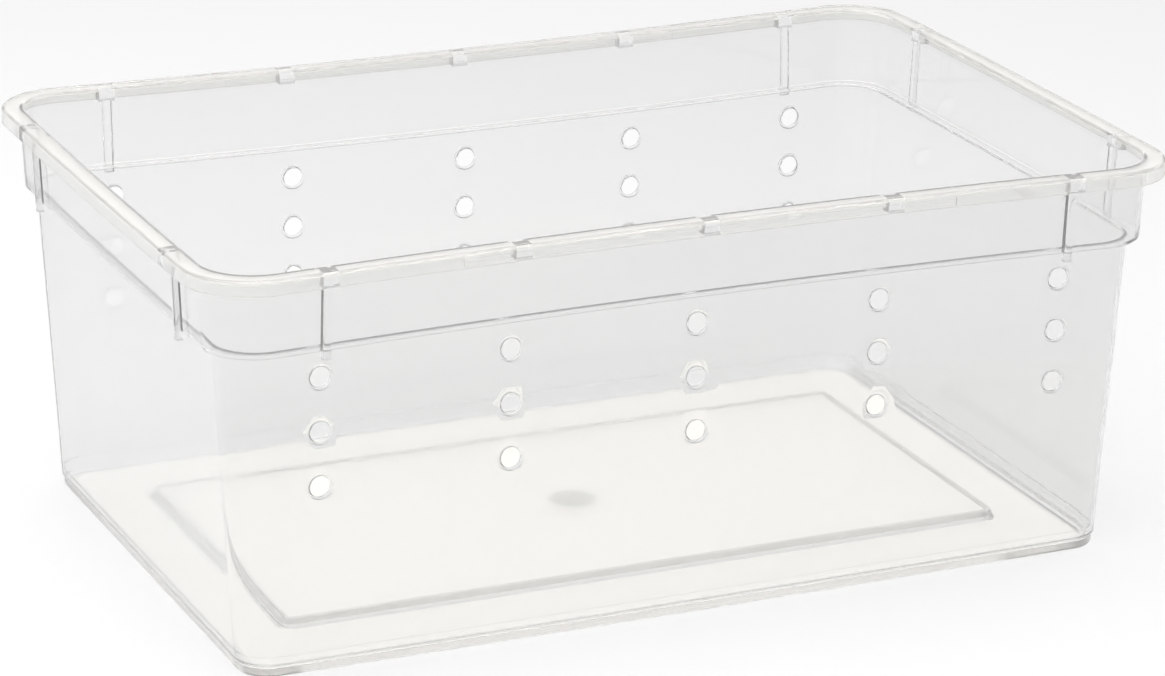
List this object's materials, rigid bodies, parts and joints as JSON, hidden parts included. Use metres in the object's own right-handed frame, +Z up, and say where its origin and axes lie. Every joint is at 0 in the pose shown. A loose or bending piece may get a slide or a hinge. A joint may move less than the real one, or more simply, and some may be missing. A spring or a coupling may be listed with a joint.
{
  "type": "vented storage bin",
  "caption": "Clear open-top refrigerator storage bin with a flat rolled rim, a stepped collar, vent holes down both long walls and a raised floor panel.",
  "frame": {"origin": "centre of the flat underside, on the surface that the bin stands on", "axes": "+X along the long walls, +Y across the bin, +Z up out of the open top"},
  "size_m": [0.357, 0.233, 0.1425],
  "materials": {
    "clear_plastic": "clear polypropylene, glossy with a faint cloudiness"
  },
  "bodies": {
    "root": {"bin": "clear_plastic"}
  },
  "joints": []
}
